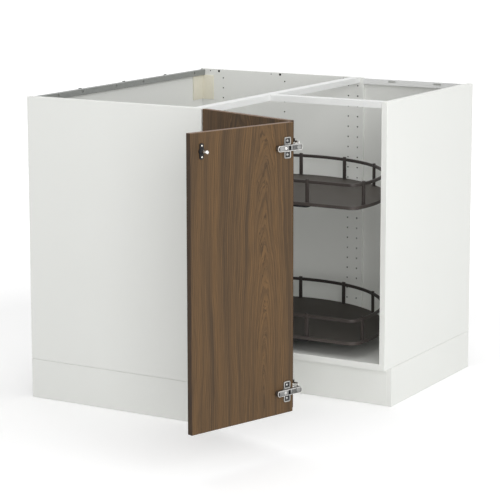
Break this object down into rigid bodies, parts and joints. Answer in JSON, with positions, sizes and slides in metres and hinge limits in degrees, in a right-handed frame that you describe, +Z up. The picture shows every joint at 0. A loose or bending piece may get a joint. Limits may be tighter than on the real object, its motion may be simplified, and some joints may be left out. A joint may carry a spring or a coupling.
{
  "type": "corner carousel cabinet",
  "caption": "L-shaped corner base cabinet, open at the top, with revolving trays on a centre pole behind a folding door, standing on a set-back plinth.",
  "frame": {"origin": "middle of the underside of the box round the cabinet with its door standing open, on the floor", "axes": "+Z up; +X from the left rear wall towards the room; +Y from the left end panel towards the outer back corner, along the left rear wall"},
  "size_m": [0.9524, 1.3996, 0.8763],
  "materials": {
    "white_foil": "white melamine on chipboard, matt",
    "white_steel": "white powder coat",
    "galvanised": "galvanised sheet",
    "cream_plastic": "moulded, cream",
    "black_plastic": "moulded, black",
    "grey_board": "dark grey laminate",
    "grey_steel": "dark grey powder coat, satin",
    "nickel": "nickel plate",
    "walnut": "walnut decor with upright grain, satin"
  },
  "bodies": {
    "cabinet": {"left_end_panel": "white_foil", "right_end_panel": "white_foil", "drilled_end_panel": "white_foil", "left_back": "white_foil", "rear_back": "white_foil", "main_bottom": "white_foil", "side_bottom": "white_foil", "long_front_rail": "white_steel", "short_front_rail": "white_steel", "left_wall_rail": "galvanised", "rear_wall_rail": "white_steel", "corner_bracket": "cream_plastic", "leg_left_rear": "black_plastic", "leg_left_front": "black_plastic", "leg_back_corner": "black_plastic", "leg_inner_corner": "black_plastic", "leg_rear_middle": "black_plastic", "leg_right_front": "black_plastic", "leg_right_rear": "black_plastic", "foot_left_rear": "black_plastic", "foot_left_front": "black_plastic", "foot_back_corner": "black_plastic", "foot_inner_corner": "black_plastic", "foot_rear_middle": "black_plastic", "foot_right_front": "black_plastic", "foot_right_rear": "black_plastic", "left_plinth": "white_foil", "front_plinth": "white_foil", "side_front_plinth": "white_foil", "right_plinth": "white_foil", "plinth_clip_left_rear": "black_plastic", "plinth_clip_left_front": "black_plastic", "plinth_clip_right_front": "black_plastic", "plinth_clip_right_rear": "black_plastic", "pole_foot": "grey_steel", "pole": "grey_steel", "pole_cap": "black_plastic", "lower_collar": "black_plastic", "upper_collar": "black_plastic", "lower_swing_arm": "nickel", "upper_swing_arm": "nickel"},
    "inner_door": {"inner_leaf": "walnut", "lower_swing_cup": "nickel", "upper_swing_cup": "nickel", "lower_fold_cup": "nickel", "upper_fold_cup": "nickel"},
    "outer_door": {"outer_leaf": "walnut", "lower_fold_arm": "nickel", "upper_fold_arm": "nickel", "catch_base": "black_plastic"},
    "plunger": {"catch_plunger": "nickel"},
    "lower_carousel": {"lower_tray": "grey_board", "lower_gallery": "grey_steel", "lower_carrier": "black_plastic"},
    "upper_carousel": {"upper_tray": "grey_board", "upper_gallery": "grey_steel", "upper_carrier": "black_plastic"}
  },
  "joints": [
    {"name": "door_swing", "type": "hinge", "parent": "cabinet", "child": "inner_door", "pos_m": [0.11475, -0.24555, 0.4953], "axis": [0, 0, 1], "range_deg": [-45, 108]},
    {"name": "door_fold", "type": "hinge", "parent": "inner_door", "child": "outer_door", "pos_m": [0.45268, -0.3543, 0.4953], "axis": [0, 0, -1], "range_deg": [-60, 0]},
    {"name": "lower_tray_turn", "type": "hinge", "parent": "cabinet", "child": "lower_carousel", "pos_m": [0, 0.2237, 0.1712], "axis": [0, 0, 1], "range_deg": [-180, 360]},
    {"name": "upper_tray_turn", "type": "hinge", "parent": "cabinet", "child": "upper_carousel", "pos_m": [0, 0.2237, 0.5628], "axis": [0, 0, 1], "range_deg": [-180, 360]},
    {"name": "catch_press", "type": "slide", "parent": "outer_door", "child": "plunger", "axis": [-0.9511, 0.309, 0], "range_m": [0, 0.01], "stiffness_N_per_m": 200}
  ]
}
